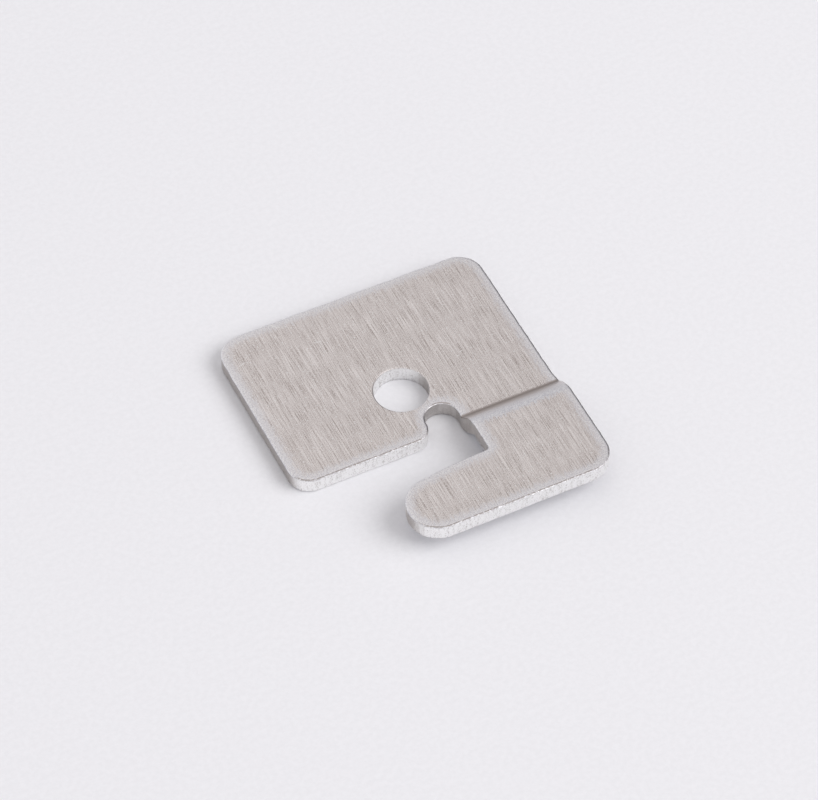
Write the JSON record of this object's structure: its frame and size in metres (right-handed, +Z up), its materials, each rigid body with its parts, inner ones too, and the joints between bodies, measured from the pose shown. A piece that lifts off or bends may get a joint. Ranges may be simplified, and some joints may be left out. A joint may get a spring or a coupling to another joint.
{
  "type": "stepped hook plate",
  "caption": "Flat plate of brushed aluminium sheet with a screw hole, its front pressed up into a raised hook beside a notch with a round relief.",
  "frame": {"origin": "axis of the fixing hole, at the face that the plate rests on", "axes": "+X to the right along the back edge, +Y back, +Z up along the fixing hole, out of the brushed face"},
  "size_m": [0.032, 0.0356, 0.004],
  "materials": {
    "plate": "belt-brushed from back to front, with sheared edges"
  },
  "bodies": {
    "root": {"hook_plate": "plate"}
  },
  "joints": []
}
